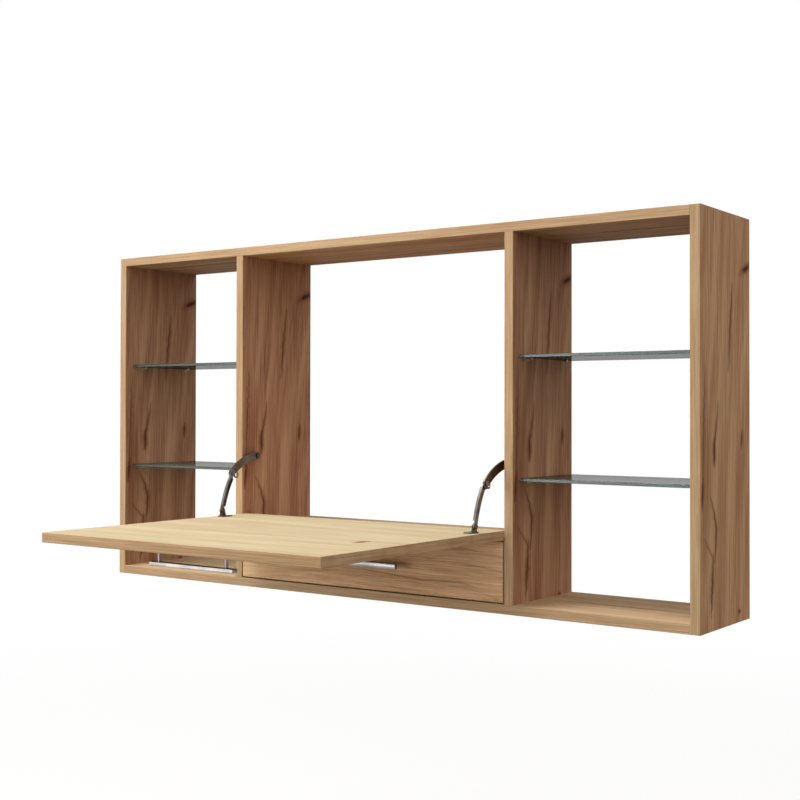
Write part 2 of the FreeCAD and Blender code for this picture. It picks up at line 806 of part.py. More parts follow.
def stay_foot_bracket(side):
    """Pressed angle: a base screwed to the flap and a flared ear that carries the foot rivet."""
    near = foot_ear_inner()
    ear_layer = stay_layer(side, near, near + foot_plate)
    base_layer = stay_layer(side, near, near + foot_plate_width)
    foot = stay_foot()
    tip = foot_ear_radius
    root = foot_ear_root / 2
    x = min(ear_layer)
    corners = [(-root, flap_top), (root, flap_top), (tip, foot[1]), (-tip, foot[1])]
    points = [Vector(x, foot[0] + step, z) for step, z in corners]
    ear = Part.Face(Part.makePolygon(points + [points[0]])).extrude(X_AXIS * foot_plate)
    half = foot_plate_length / 2
    sole = block(base_layer, (foot[0] - half, foot[0] + half), (flap_top, flap_top + foot_plate))
    bracket = fuse([ear, disc(ear_layer, foot, tip), sole])
    tools = [disc(ear_layer, foot, stay_rivet_radius + running_fit)]
    tools += [foot_screw(side, end, same_body_gap) for end in SIDES]
    return cut(bracket, tools)


def stay_foot_rivet(side):
    """Rivet fixed in the ear of the bracket, on which the foot of the lower arm turns."""
    foot = stay_foot()
    web_start = stay_spacer + upper_arm_plate + moving_gap
    ear_end = foot_ear_inner() + foot_plate
    shank = disc(stay_layer(side, web_start - moving_gap, ear_end), foot, stay_rivet_radius)
    far_layer = stay_layer(side, web_start - moving_gap - stay_rivet_head, web_start - moving_gap)
    near_layer = stay_layer(side, ear_end, ear_end + stay_rivet_head)
    heads = [disc(layer, foot, stay_button_radius) for layer in (far_layer, near_layer)]
    return fuse([shank] + heads)


# ---- drawer ----
def drawer_front_board():
    front_board = block(
        (-drawer_half, drawer_half),
        (front, front + board),
        (drawer_front_base, drawer_front_top),
        edge_round,
    )
    tools = [handle_screw(drawer_handle(), end, same_body_gap) for end in SIDES]
    tools += [box_screw(side, z, same_body_gap) for side in SIDES for z in box_screw_heights()]
    return cut(front_board, tools)


def drawer_groove_space():
    """Groove for the bottom sheet round the inside of the box."""
    low = box_base + drawer_bottom_rise
    reach = box_half - drawer_board + drawer_groove
    return block(
        (-reach, reach), (box_front, box_back - drawer_board + drawer_groove),
        (low, low + drawer_bottom_sheet),
    )


def drawer_side(side):
    x_range = (place(side, box_half - drawer_board), place(side, box_half))
    panel = block(x_range, (box_front, box_back), (box_base, box_base + drawer_side_height))
    tools = [drawer_groove_space()]
    tools += [box_screw(side, z, same_body_gap) for z in box_screw_heights()]
    tools += [rear_screw(side, z, same_body_gap) for z in box_screw_heights()]
    tools += [drawer_runner_screw(side, y, same_body_gap) for y in drawer_runner_screw_places()]
    return cut(panel, tools)


def drawer_back():
    inner = box_half - drawer_board
    panel = block(
        (-inner, inner), (box_back - drawer_board, box_back), (box_base, box_base + drawer_side_height)
    )
    tools = [drawer_groove_space()]
    tools += [rear_screw(side, z, same_body_gap) for side in SIDES for z in box_screw_heights()]
    return cut(panel, tools)


def drawer_bottom():
    low = box_base + drawer_bottom_rise
    reach = box_half - drawer_board + drawer_groove - drawer_bottom_play
    back = box_back - drawer_board + drawer_groove - drawer_bottom_play
    return block((-reach, reach), (box_front, back), (low, low + drawer_bottom_sheet))


def box_screw_heights():
    return (box_base + box_screw_low, box_base + drawer_side_height - box_screw_high)


def box_screw(side, z, grow=0.0):
    """Screw from the back of the box side into the front board: it runs along Y in the side."""
    x = place(side, box_half - drawer_board / 2)
    start = Vector(x, box_front + box_screw_length - box_screw_bite, z)
    return rod(box_screw_radius + grow, box_screw_length + grow, start, Y_AXIS * -1)


def rear_screw(side, z, grow=0.0):
    """Screw through the box side into the end of the back."""
    start = Vector(place(side, box_half), box_back - drawer_board / 2, z)
    shank = rod(box_screw_radius + grow, box_screw_length + grow, start, X_AXIS * -side)
    radius = box_screw_head_radius + grow
    head = cone(radius, box_screw_radius + grow, box_screw_countersink, start, X_AXIS * -side)
    return fuse([shank, head])


# ---- roller runners ----
def runner_layer(side, inner, outer):
    """X range between two distances from the inner face of the divider."""
    return (place(side, divider_inner - inner), place(side, divider_inner - outer))


def runner_screw_places():
    first = runner_front + runner_screw_inset
    return (first, first + runner_screw_pitch)


def drawer_runner_screw_places():
    return tuple(y + runner_screw_shift for y in runner_screw_places())


def runner_screw(side, y, grow=0.0):
    """Screw through the fixed runner into the divider, its pan head inside the channel."""
    start = Vector(place(side, divider_inner - runner_sheet), y, (runner_base + runner_top) / 2)
    length = runner_sheet + runner_screw_length + grow
    shank = rod(runner_screw_radius + grow, length, start, X_AXIS * side)
    head = rod(runner_screw_head + grow, runner_screw_pan, start, X_AXIS * -side)
    return fuse([shank, head])


def drawer_runner_screw(side, y, grow=0.0):
    """Screw through the moving runner into the drawer side."""
    start = Vector(place(side, box_half + runner_sheet), y, moving_flange + moving_web_height / 2)
    length = runner_sheet + drawer_screw_bite + grow
    shank = rod(runner_screw_radius + grow, length, start, X_AXIS * -side)
    head = rod(runner_screw_head + grow, runner_screw_pan, start, X_AXIS * side)
    return fuse([shank, head])


def fixed_runner(side):
    """Channel of bent sheet on the divider; its lower flange is the track of the drawer's roller."""
    ends = (runner_front, runner_front + runner_length)
    web = block(runner_layer(side, 0, runner_sheet), ends, (runner_base, runner_top))
    reach = runner_layer(side, 0, runner_flange)
    track = block(reach, ends, (runner_base, runner_base + runner_sheet))
    cover = block(reach, (runner_front + 2 * roller_inset, ends[1]), (runner_top - runner_sheet, runner_top))
    stop = block(reach, (ends[1] - runner_sheet, ends[1]), (runner_base, runner_top))
    tools = [runner_screw(side, y, same_body_gap) for y in runner_screw_places()]
    tools.append(carcass_axle_shank(side, same_body_gap))
    return cut(fuse([web, track, cover, stop]), tools)


def drawer_runner(side):
    """Angle of bent sheet on the drawer side, with a tab at the rear that carries its roller."""
    ends = (box_front, runner_front + runner_length - 2 * runner_sheet)
    web_layer = runner_layer(side, runner_room - runner_sheet, runner_room)
    flange_layer = runner_layer(side, moving_flange_gap, runner_room)
    web = block(web_layer, ends, (moving_flange, moving_flange + moving_web_height))
    flange = block(flange_layer, ends, (moving_flange, moving_flange + runner_sheet))
    tab_ends = (ends[1] - 2 * roller_inset, ends[1])
    tab = block(web_layer, tab_ends, (roller_z - runner_tab_drop, moving_flange))
    tools = [drawer_runner_screw(side, y, same_body_gap) for y in drawer_runner_screw_places()]
    tools.append(drawer_axle_shank(side, same_body_gap))
    return cut(fuse([web, flange, tab]), tools)


def carcass_roller_y():
    return runner_front + roller_inset


def drawer_roller_y():
    return runner_front + runner_length - 2 * runner_sheet - roller_inset


def carcass_axle_shank(side, grow=0.0):
    layer = runner_layer(side, 0, carcass_roller_near + roller_width + 2 * moving_gap)
    return disc(layer, (carcass_roller_y(), roller_z), roller_axle_radius + grow)


def drawer_axle_shank(side, grow=0.0):
    layer = runner_layer(side, drawer_roller_near - 2 * moving_gap, runner_room)
    return disc(layer, (drawer_roller_y(), roller_z), roller_axle_radius + grow)


def carcass_axle(side):
    """Rivet in the web of the fixed runner, with a collar behind the roller and a head before it."""
    centre = (carcass_roller_y(), roller_z)
    end = carcass_roller_near + roller_width + moving_gap
    collar = runner_layer(side, runner_sheet, carcass_roller_near - moving_gap)
    head = runner_layer(side, end, end + axle_head)
    flanges = [disc(layer, centre, axle_head_radius) for layer in (collar, head)]
    return fuse([carcass_axle_shank(side)] + flanges)


def drawer_axle(side):
    centre = (drawer_roller_y(), roller_z)
    end = drawer_roller_near - moving_gap
    web = runner_room - runner_sheet
    collar = runner_layer(side, drawer_roller_near + roller_width + moving_gap, web)
    head = runner_layer(side, end - axle_head, end)
    flanges = [disc(layer, centre, axle_head_radius) for layer in (collar, head)]
    return fuse([drawer_axle_shank(side)] + flanges)


def roller(side, near, y):
    """Nylon roller with a shallow groove turned into each face."""
    layer = runner_layer(side, near, near + roller_width)
    centre = (y, roller_z)
    wheel = disc(layer, centre, roller_radius)
    bore = disc(layer, centre, roller_axle_radius + running_fit)
    far = near + roller_width
    faces = [(near, near + roller_groove), (far - roller_groove, far)]
    hollows = []
    for face in faces:
        face_layer = runner_layer(side, *face)
        ring = disc(face_layer, centre, roller_radius - roller_rim)
        hub = disc(face_layer, centre, roller_axle_radius + roller_rim)
        hollows.append(ring.cut(hub))
    return cut(wheel, [bore] + hollows)


def save_all():
    os.makedirs("parts", exist_ok=True)
    names = {-1: "left", 1: "right"}
    save("top_panel", top_panel())
    save("bottom_panel", level_panel(base))
    save("desk_deck", desk_deck())
    for side, name in names.items():
        save(name + "_side_panel", side_panel(side))
        save(name + "_divider", divider(side))
        for level, z in zip(("lower", "upper"), shelf_heights()):
            save(level + "_" + name + "_glass_shelf", glass_shelf(side, z))
        save(name + "_fixed_runner", fixed_runner(side))
        save(name + "_drawer_runner", drawer_runner(side))
        save(name + "_carcass_roller", roller(side, carcass_roller_near, carcass_roller_y()))
        save(name + "_drawer_roller", roller(side, drawer_roller_near, drawer_roller_y()))
        save(name + "_upper_stay_arm", upper_stay_arm(side))
        save(name + "_lower_stay_arm", lower_stay_arm(side))
        save(name + "_stay_joint_pin", stay_joint_pin(side))
        save("drawer_" + name + "_side", drawer_side(side))
    save("shelf_support_pins", [shelf_pin(site) for site in shelf_pin_sites()])
    save("panel_dowels", corner_dowels() + deck_dowels())
    save("cam_housings", [cam_housing(site) for site in cam_sites()])
    save("cam_bolts", [cam_bolt_bore(site) for site in cam_sites()])
    save("divider_screws", long_screws())
    hangers = hanger_places()
    save("wall_hanger_plates", [hanger_plate_piece(x) for x in hangers])
    save("wall_hanger_screws", [hanger_screw(x, z) for x in hangers for z in hanger_screw_heights()])
    save("runner_screws", [runner_screw(side, y) for side in SIDES for y in runner_screw_places()])
    save("carcass_roller_axles", [carcass_axle(side) for side in SIDES])
    save("flap_pivot_bushes", [pivot_bush(side) for side in SIDES])
    save("stay_spacer_bushes", [stay_spacer_bush(side) for side in SIDES])
    save("stay_wall_screws", [stay_wall_screw(side) for side in SIDES])
    save("catch_magnet", catch_magnet_piece())
    save("desk_flap", desk_flap())
    save("flap_edge_band", flap_edge_band())
    save("catch_steel_disc", catch_disc_piece())
    save("flap_pivot_pins", [pivot_pin(side) for side in SIDES])
    save("stay_foot_brackets", [stay_foot_bracket(side) for side in SIDES])
    save("stay_foot_screws", [foot_screw(side, end) for side in SIDES for end in SIDES])
    save("stay_foot_rivets", [stay_foot_rivet(side) for side in SIDES])
    for name, seat in (("flap", flap_handle()), ("drawer", drawer_handle())):
        save(name + "_handle_bar", handle_bar_piece(seat))
        save(name + "_handle_posts", [handle_post(seat, end) for end in SIDES])
        save(name + "_handle_screws", [handle_screw(seat, end) for end in SIDES])
    save("drawer_front", drawer_front_board())
    save("drawer_back", drawer_back())
    save("drawer_bottom", drawer_bottom())
    heights = box_screw_heights()
    front_screws = [box_screw(side, z) for side in SIDES for z in heights]
    save("drawer_box_screws", front_screws + [rear_screw(side, z) for side in SIDES for z in heights])
    screws = [drawer_runner_screw(side, y) for side in SIDES for y in drawer_runner_screw_places()]
    save("drawer_runner_screws", screws)
    save("drawer_roller_axles", [drawer_axle(side) for side in SIDES])


save_all()
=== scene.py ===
import math

import bpy
from mathutils import Euler, Matrix, Vector


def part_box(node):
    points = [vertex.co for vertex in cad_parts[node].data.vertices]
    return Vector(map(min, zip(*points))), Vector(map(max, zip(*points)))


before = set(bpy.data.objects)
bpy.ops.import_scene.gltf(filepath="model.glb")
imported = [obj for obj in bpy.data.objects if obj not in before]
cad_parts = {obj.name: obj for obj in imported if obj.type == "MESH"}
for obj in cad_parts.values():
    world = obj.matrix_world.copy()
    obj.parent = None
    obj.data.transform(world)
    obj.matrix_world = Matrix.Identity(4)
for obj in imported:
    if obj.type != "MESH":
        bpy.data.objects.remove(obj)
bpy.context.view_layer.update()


# ---- Uprights ----
# Two side panels and two dividers of 15 mm particle board, faced with a rustic oak decor paper
# whose grain runs up. A thin band is glued to the front edges and to the ends. The rear edges,
# which lie on the wall, are left as sawn chipboard.
class Wire:
    """The output of a node. Arithmetic on it adds Math nodes to the same finish."""

    def __init__(self, tree, node=None, output=0):
        self.tree = tree
        self.socket = node.outputs[output] if node and len(node.outputs) else None

    def add(self, kind, settings=(), sockets=(), output=0):
        """Adds a node of any kind: its settings first, then the values or links of its sockets."""
        node = self.tree.nodes.new(kind)
        for name, value in dict(settings).items():
            setattr(node, name, value)
        for name, value in dict(sockets).items():
            if isinstance(value, Wire):
                self.tree.links.new(value.socket, node.inputs[name])
            else:
                node.inputs[name].default_value = value
        return Wire(self.tree, node, output)

    def maths(self, operation, first, second=0.0):
        return self.add("ShaderNodeMath", {"operation": operation}, {0: first, 1: second})

    def __add__(self, other):
        return self.maths("ADD", self, other)

    def __radd__(self, other):
        return self.maths("ADD", other, self)

    def __sub__(self, other):
        return self.maths("SUBTRACT", self, other)

    def __rsub__(self, other):
        return self.maths("SUBTRACT", other, self)

    def __mul__(self, other):
        return self.maths("MULTIPLY", self, other)

    def __rmul__(self, other):
        return self.maths("MULTIPLY", other, self)

    def __truediv__(self, other):
        return self.maths("DIVIDE", self, other)

    def __rtruediv__(self, other):
        return self.maths("DIVIDE", other, self)

    def __lt__(self, other):
        return self.maths("LESS_THAN", self, other)

    def __gt__(self, other):
        return self.maths("GREATER_THAN", self, other)

    def __abs__(self):
        return self.maths("ABSOLUTE", self)

    def root(self):
        return self.maths("SQRT", self)

    def either(self, other):
        """The larger of the two, so of two masks it is 1 where either is."""
        return self.maths("MAXIMUM", self, other)

    def soft_step(self, start, end):
        """Rises from 0 at start to 1 at end, which may lie either way round."""
        limits = {"Value": self, "From Min": start, "From Max": end}
        return self.add("ShaderNodeMapRange", {"interpolation_type": "SMOOTHSTEP"}, limits)

    def between(self, first, second):
        """Mixes two colours: the first where this is 0, the second where it is 1."""
        return self.add("ShaderNodeMix", {"data_type": "RGBA"}, {0: self, 6: first, 7: second}, 2)

    def point(self, x, y, z):
        """A place made from three values."""
        return self.add("ShaderNodeCombineXYZ", {}, {0: x, 1: y, 2: z})

    def cloud(self, place, scale, detail=2.0, roughness=0.5):
        """Cloudy noise between 0 and 1."""
        sockets = {"Vector": place, "Scale": scale, "Detail": detail, "Roughness": roughness}
        return self.add("ShaderNodeTexNoise", {}, sockets)


def paint(red, green, blue):
    """A colour as it looks on a screen, 0 to 255, turned into light."""
    channels = [value / 255 for value in (red, green, blue)]
    return [c / 12.92 if c < 0.04 else ((c + 0.055) / 1.055) ** 2.4 for c in channels] + [1.0]


def new_finish(name):
    """An empty material and the start of its nodes."""
    material = bpy.data.materials.new(name)
    material.use_nodes = True
    material.node_tree.nodes.clear()
    return material, Wire(material.node_tree)


def close_finish(start, sockets):
    """Ends a finish in a surface with these socket values."""
    surface = start.add("ShaderNodeBsdfPrincipled", {}, sockets)
    start.add("ShaderNodeOutputMaterial", {}, {"Surface": surface})


def relief(start, height, depth, under=None):
    """Bump of a height from 0 to 1 that stands for a depth in metres, over an earlier bump if any."""
    sockets = {"Height": height, "Distance": depth, "Strength": 1.0}
    if under:
        sockets["Normal"] = under
    return start.add("ShaderNodeBump", {}, sockets)


def coordinates(start):
    """The piece's x, y and z by name, as it lies in the cabinet, in metres."""
    place = start.add("ShaderNodeTexCoord", {}, {}, "Object")
    return {axis.lower(): start.add("ShaderNodeSeparateXYZ", {}, {0: place}, axis) for axis in "XYZ"}


def dress(material, *nodes):
    """Gives the finish to pieces of the frame."""
    for node in nodes:
        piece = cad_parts[node]
        piece.data.materials.clear()
        piece.data.materials.append(material)


low, high = (Vector(corner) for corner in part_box("left_side_panel"))
front = low.y
outer_side = -low.x
top = high.z
base = low.z
band_sheet = 0.0009
wall_skin = 0.0003

decor_honey = paint(208, 167, 134)
decor_brown = paint(156, 108, 83)
decor_streak = paint(116, 70, 49)
decor_pore = paint(120, 86, 60)
decor_halo = paint(132, 82, 56)
decor_crack = paint(58, 34, 22)
band_honey = paint(216, 185, 147)
band_brown = paint(178, 144, 107)
chip_pale = paint(224, 198, 160)
chip_dark = paint(172, 140, 102)
decor_roughness = 0.60
decor_gloss = 0.03
decor_depth = 0.00012

# How many marks of each kind lie in a metre, across the rings or the fibres and along the grain.
stripes_across, stripes_along = 150.0, 2.2
streaks_across, streaks_along = 260.0, 4.0
shades_across, shades_along = 34.0, 2.4
fibres_across, fibres_along = 420.0, 9.0
pores_across, pores_along = 1300.0, 40.0
sways_across, sways_along = 9.0, 3.0
chips_each_way = 420.0

# How far the rings sway, in metres, and how much of a knot's half height they swell round it.
sway_reach_across, sway_reach_along = 0.040, 0.10
knot_swell = 0.9

# How strongly each kind of mark is printed.
streak_strength = 0.42
pore_strength = 0.25
halo_strength = 0.75
knot_strength = 0.80
crack_strength = 0.60


def crack(start, along, across, middle, half_length, width, slant=0.0, bow=0.0):
    """Dark split that follows the grain and tapers to both ends: its core and the stain round it."""
    kinks, kink_reach = 60.0, 0.010
    core_outside, core_inside = 0.0022, -0.0014
    stain_outside, stain_inside = 0.008, -0.004
    run = along - middle[0]
    taper = (1 - run * run / half_length**2).either(0.0)
    wander = (start.cloud(start.point(along, middle[1], 0.0), kinks, 4.0) - 0.5) * kink_reach
    off = abs(across - middle[1] - run * slant - run * run * bow + wander)
    core = (off - taper * width).soft_step(core_outside, core_inside)
    stain = (off - taper * width * 3).soft_step(stain_outside, stain_inside)
    return core * taper.soft_step(0.02, 0.2), stain * taper


def knot(start, along, across, middle, half_height, half_width, slant=0.0):
    """Distance from the middle of a ragged knot, 1 at its rim."""
    notches, notch_depth = 110.0, 1.4
    ragged = start.cloud(start.point(along, across, 0.0), notches, 3.0) - 0.5
    aside = across - middle[1]
    up = (along - middle[0] - aside * slant) / half_height
    aside = aside / half_width
    return (up * up + aside * aside).root() + ragged * notch_depth


def oak_decor(name, axes, heart, band, sawn=None, knots=(), cracks=(), stretch=0.0,
              tones=(decor_honey, decor_brown), vivid=1.0, turned=None, painted_light=None):
    """Printed oak decor: growth rings round a heart line, fibres, pores, cracks and knots.

    axes names the piece's axes along, across and through the grain. heart is where the rings
    centre along and across it, and how fast they open. band and sawn mark the edge band and the
    raw edge, and turned marks the bands whose grain runs across. stretch picks another part of
    the paper. tones are the pale and the brown of the print, and vivid is how strongly it is
    drawn. The last argument marks a face whose print is made paler to paint the light that falls
    on it, and gives that paler print's tones.
    drawn. paler marks a face with a paler print, and gives that print's tones."""
    material, start = new_finish(name)
    place = coordinates(start)
    along, across, through = (place[axis] for axis in axes)
    sway_place = start.point(along * sways_along, across * sways_across, stretch)
    sway = start.cloud(sway_place, 1.0, 4.0) - 0.5
    rise = (along - heart[0] + sway * sway_reach_along) * heart[2]
    aside = across - heart[1] + sway * sway_reach_across
    ring = (rise * rise + aside * aside).root()
    eyes = [knot(start, along, across, *shape) for shape in knots]
    for eye, shape in zip(eyes, knots):
        knot_height = shape[1]
        ring = ring + knot_height * knot_swell / (1 + eye * eye * 0.5)

    stripe_place = start.point(ring * stripes_across, along * stripes_along, stretch)
    streak_place = start.point(ring * streaks_across, along * streaks_along, stretch + 7.0)
    fibre_place = start.point(along * fibres_along, across * fibres_across, through * fibres_across)
    pore_place = start.point(along * pores_along, across * pores_across, through * pores_across)
    shade_place = start.point(along * shades_along, ring * shades_across, stretch + 3.0)
    stripe = start.cloud(stripe_place, 1.0, 6.0, 0.72)
    streak = start.cloud(streak_place, 1.0, 4.0, 0.6)
    fibre = start.cloud(fibre_place, 1.0, 4.0, 0.65)
    pore = start.cloud(pore_place, 1.0, 1.0)
    shade = start.cloud(shade_place, 1.0, 3.0)

    tone = (stripe * 0.50 + shade * 0.75 + fibre * 0.85 - 0.55).soft_step(0.20, 0.80)
    colour = tone.between(*tones)
    streaks = streak.soft_step(0.54, 0.68) * shade.soft_step(0.36, 0.60)
    colour = (streaks * streak_strength * vivid).between(colour, decor_streak)
    # Painted light: faces that catch more light are printed paler than the rest of the piece.
    if painted_light:
        painted_lit_face, painted_lit_tones = painted_light
        colour = painted_lit_face(place).between(colour, tone.between(*painted_lit_tones))
    pores = pore.soft_step(0.56, 0.74)
    colour = (pores * pore_strength * vivid).between(colour, decor_pore)
    for eye in eyes:
        colour = (eye.soft_step(2.4, 0.7) * halo_strength).between(colour, decor_halo)
        colour = (eye.soft_step(1.1, 0.3) * knot_strength).between(colour, decor_crack)
    for split in cracks:
        core, stain = crack(start, along, across, *split)
        colour = (stain * (0.3 + stripe * 0.7)).between(colour, decor_halo)
        colour = (core * crack_strength).between(colour, decor_crack)

    band_fibre = fibre
    if turned:
        side_place = start.point(along * fibres_across, across * fibres_along, through * fibres_across)
        side_fibre = start.cloud(side_place, 1.0, 4.0, 0.65)
        sideways = turned(place)
        band_fibre = sideways * side_fibre + (1 - sideways) * fibre
    edge_tone = (band_fibre * 0.9 + shade * 0.4 - 0.15).soft_step(0.25, 0.75)
    colour = band(place).between(colour, edge_tone.between(band_honey, band_brown))
    if sawn:
        chip_sockets = {"Vector": start.point(*place.values()), "Scale": chips_each_way}
        chips = start.add("ShaderNodeTexVoronoi", {}, chip_sockets, 1)
        grey = start.add("ShaderNodeSeparateColor", {}, {0: chips})
        colour = sawn(place).between(colour, grey.between(chip_pale, chip_dark))
    height = fibre * 0.35 - pore.soft_step(0.52, 0.70) * 0.65
    sockets = {
        "Base Color": colour,
        "Roughness": decor_roughness + fibre * 0.12,
        "Normal": relief(start, height, decor_depth),
        "Specular IOR Level": decor_gloss,
    }
    close_finish(start, sockets)
    return material


def carcass_band(place):
    """The bands on the front edges of the carcass."""
    return place["y"] < front + band_sheet


def upright_band(place):
    """The bands on the front edge and on both ends of an upright."""
    ends = (place["z"] > top - band_sheet).either(place["z"] < base + band_sheet)
    return carcass_band(place).either(ends)


def wall_edge(place):
    """The raw edges on the wall."""
    return place["y"] > -wall_skin


def outer_face(place):
    """The outer faces of the two side panels."""
    return abs(place["x"]) > outer_side - band_sheet


# The outer faces of the side panels are printed paler than the inner faces: painted light outside, and
# painted shade inside the cabinet.
outer_painted_light_tones = (paint(219, 181, 140), paint(167, 121, 90))
upright_heart = (base - 0.10, 0.10, 0.22)
# Each knot: its middle along and across the grain, half its height, half its width and its slant.
upright_knots = [((top - 0.076, -0.017), 0.005, 0.015, 0.35), ((base + 0.016, -0.043), 0.0025, 0.0042)]
# Each crack: its middle along and across the grain, half its length, its width, slant and bow.
upright_cracks = [
    ((top - 0.457, -0.1365), 0.052, 0.0014, -0.17, -6.0),
    ((top - 0.535, -0.1500), 0.050, 0.0022, 0.09),
    ((top - 0.486, -0.1600), 0.020, 0.0002, -1.00),
    ((top - 0.325, -0.1825), 0.110, 0.0009, 0.05),
    ((top - 0.405, -0.1870), 0.026, 0.0016, 0.10),
    ((top - 0.320, -0.1370), 0.050, 0.0009, 0.20),
    ((top - 0.347, -0.1425), 0.024, 0.0018, 0.05),
    ((top - 0.166, -0.0800), 0.070, 0.0011, 0.115),
    ((top - 0.330, -0.0330), 0.017, 0.0014, 0.05),
]
upright_decor = oak_decor(
    "oak decor, uprights", "zyx", upright_heart, upright_band, sawn=wall_edge,
    knots=upright_knots, cracks=upright_cracks, painted_light=(outer_face, outer_painted_light_tones)
)
dress(upright_decor, "left_side_panel", "right_side_panel", "left_divider", "right_divider")


# ---- Top, bottom and deck ----
# Level boards of the same decor with the grain running across the cabinet. Dowels and cam
# fittings draw them up between the uprights, so no fixing shows from the front.
bay_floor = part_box("bottom_panel")[1][2]
deck_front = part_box("desk_deck")[0][1]


def upper_face(place):
    """The upper faces of the bottom panel and the top panel."""
    on_bay_floor = abs(place["z"] - bay_floor) < band_sheet
    return on_bay_floor.either(place["z"] > top - band_sheet)


def deck_band(place):
    """The band on the front edge of the deck."""
    return place["y"] < deck_front + band_sheet


level_heart = (0.9, 0.12, 0.05)
level_cracks = [((-0.30, -0.120), 0.09, 0.0006, 0.01), ((0.42, -0.100), 0.10, 0.0008, -0.01)]
level_tones = (paint(218, 179, 140), paint(162, 115, 86))
# The upper faces of the top and bottom panels are printed paler: painted light from above.
upper_painted_light_tones = (paint(222, 194, 156), paint(180, 144, 109))
level_decor = oak_decor(
    "oak decor, level boards", "xyz", level_heart, carcass_band, sawn=wall_edge,
    cracks=level_cracks, stretch=5.0, tones=level_tones, vivid=0.7, painted_light=(upper_face, upper_painted_light_tones)
)
dress(level_decor, "top_panel", "bottom_panel")

deck_tones = (paint(212, 187, 148), paint(178, 148, 110))
deck_decor = oak_decor(
    "oak decor, deck", "xyz", level_heart, deck_band, sawn=wall_edge,
    stretch=9.0, tones=deck_tones, vivid=0.4
)
dress(deck_decor, "desk_deck")


# ---- Flap ----
# Drop front board of the same decor, banded on all four edges. Lying open it is the writing
# surface, and it turns on two steel pins in nylon bushes in the dividers.
flap_high = Vector(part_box("desk_flap")[1])


def flap_sides(place):
    """The bands on the two side edges of the flap, whose grain runs from front to rear."""
    return abs(place["x"]) > flap_high.x - band_sheet


def flap_band(place):
    """The bands on the side edges and the rear edge of the flap."""
    return flap_sides(place).either(place["y"] > flap_high.y - band_sheet)


def free_edge_band(place):
    """The whole of the band on the flap's free edge, which is a piece of its own."""
    return abs(place["x"]) < outer_side


def writing_face(place):
    """The flap's upper face as it lies open."""
    return place["z"] > flap_high.z - band_sheet


flap_tones = (paint(234, 196, 153), paint(174, 129, 96))
# The writing face is printed paler and greyer than the rest of the flap: painted light from above and
# a painted sheen.
writing_painted_light_tones = (paint(209, 196, 164), paint(190, 169, 132))
flap_heart = (-0.35, -0.40, 0.10)
flap_knots = [((0.195, -0.469), 0.005, 0.010)]
flap_stretch = 13.0
flap_decor = oak_decor(
    "oak decor, flap", "xyz", flap_heart, flap_band, knots=flap_knots, stretch=flap_stretch,
    tones=flap_tones, vivid=0.7, turned=flap_sides, painted_light=(writing_face, writing_painted_light_tones)
)
dress(flap_decor, "desk_flap")
strip_decor = oak_decor("oak edge band, flap", "xyz", flap_heart, free_edge_band, stretch=flap_stretch)
dress(strip_decor, "flap_edge_band")


# ---- Glass shelves ----
# Clear 5 mm float glass with ground edges, which look green because light runs the length of
# the sheet to reach them. Each shelf lies loose on four steel pins.
glass_flat = paint(204, 212, 203)
glass_edge = paint(118, 150, 133)
glass_painted_reflection = paint(84, 86, 74)


def float_glass():
    """Clear flats with a painted dull grey reflection where they are seen almost edge on, and ground
    green edges.
    """
    material, start = new_finish("float glass")
    facing = start.add("ShaderNodeTexCoord", {}, {}, "Normal")
    level = abs(start.add("ShaderNodeSeparateXYZ", {}, {0: facing}, "Z"))
    ground = level.soft_step(0.9, 0.5)
    clear_sockets = {
        "Base Color": ground.between(glass_flat, glass_edge),
        "Roughness": ground * 0.25 + 0.01,
        "IOR": 1.52,
        "Transmission Weight": 1.0,
    }
    clear = start.add("ShaderNodeBsdfPrincipled", {}, clear_sockets)
    # Painted reflection: a dull grey diffuse, mixed in where the flats are seen almost edge on, stands
    # for the dark things they mirror.
    painted_reflection = start.add("ShaderNodeBsdfDiffuse", {}, {"Color": glass_painted_reflection})
    glancing = start.add("ShaderNodeLayerWeight", {}, {"Blend": 0.5}, "Facing")
    share = glancing.soft_step(0.80, 0.98) * level.soft_step(0.5, 0.9) * 0.75
    surface = start.add("ShaderNodeMixShader", {}, {0: share, 1: clear, 2: painted_reflection})
    start.add("ShaderNodeOutputMaterial", {}, {"Surface": surface})
    return material


sides = ("left", "right")
shelf_names = [f"{level}_{side}_glass_shelf" for level in ("lower", "upper") for side in sides]
dress(float_glass(), *shelf_names)


# ---- Metal fittings ----
# Pressed and turned steel: nickel-plated stays, pins and foot brackets, zinc-plated screws and
# hanger plates. The cams are cast in zinc.
def plated_metal(name, bright, dull, roughness, rubs, crown=None):
    """Metal with faint rubbed marks, so many to the metre along x, y and z.

    crown is for a slightly domed face: the axis across it and the places of its two edges."""
    smears, rub_depth, dome_height = 38.0, 0.00003, 0.0009
    material, start = new_finish(name)
    place = coordinates(start)
    rub_place = start.point(*(place[axis] * count for axis, count in zip("xyz", rubs)))
    rub = start.cloud(rub_place, 1.0, 4.0, 0.6)
    smear = start.cloud(start.point(*place.values()), smears)
    tone = (rub * 0.6 + smear * 0.6).soft_step(0.35, 0.85)
    surface = relief(start, rub, rub_depth)
    if crown:
        axis, near, far = crown
        across = (place[axis] - (near + far) / 2) / ((far - near) / 2)
        surface = relief(start, 1 - across * across, dome_height, surface)
    sockets = {
        "Base Color": tone.between(bright, dull),
        "Metallic": 1.0,
        "Roughness": roughness + smear * 0.12,
        "Normal": surface,
    }
    close_finish(start, sockets)
    return material


pressed_rubs = (600, 160, 160)
turned_rubs = (300, 300, 300)
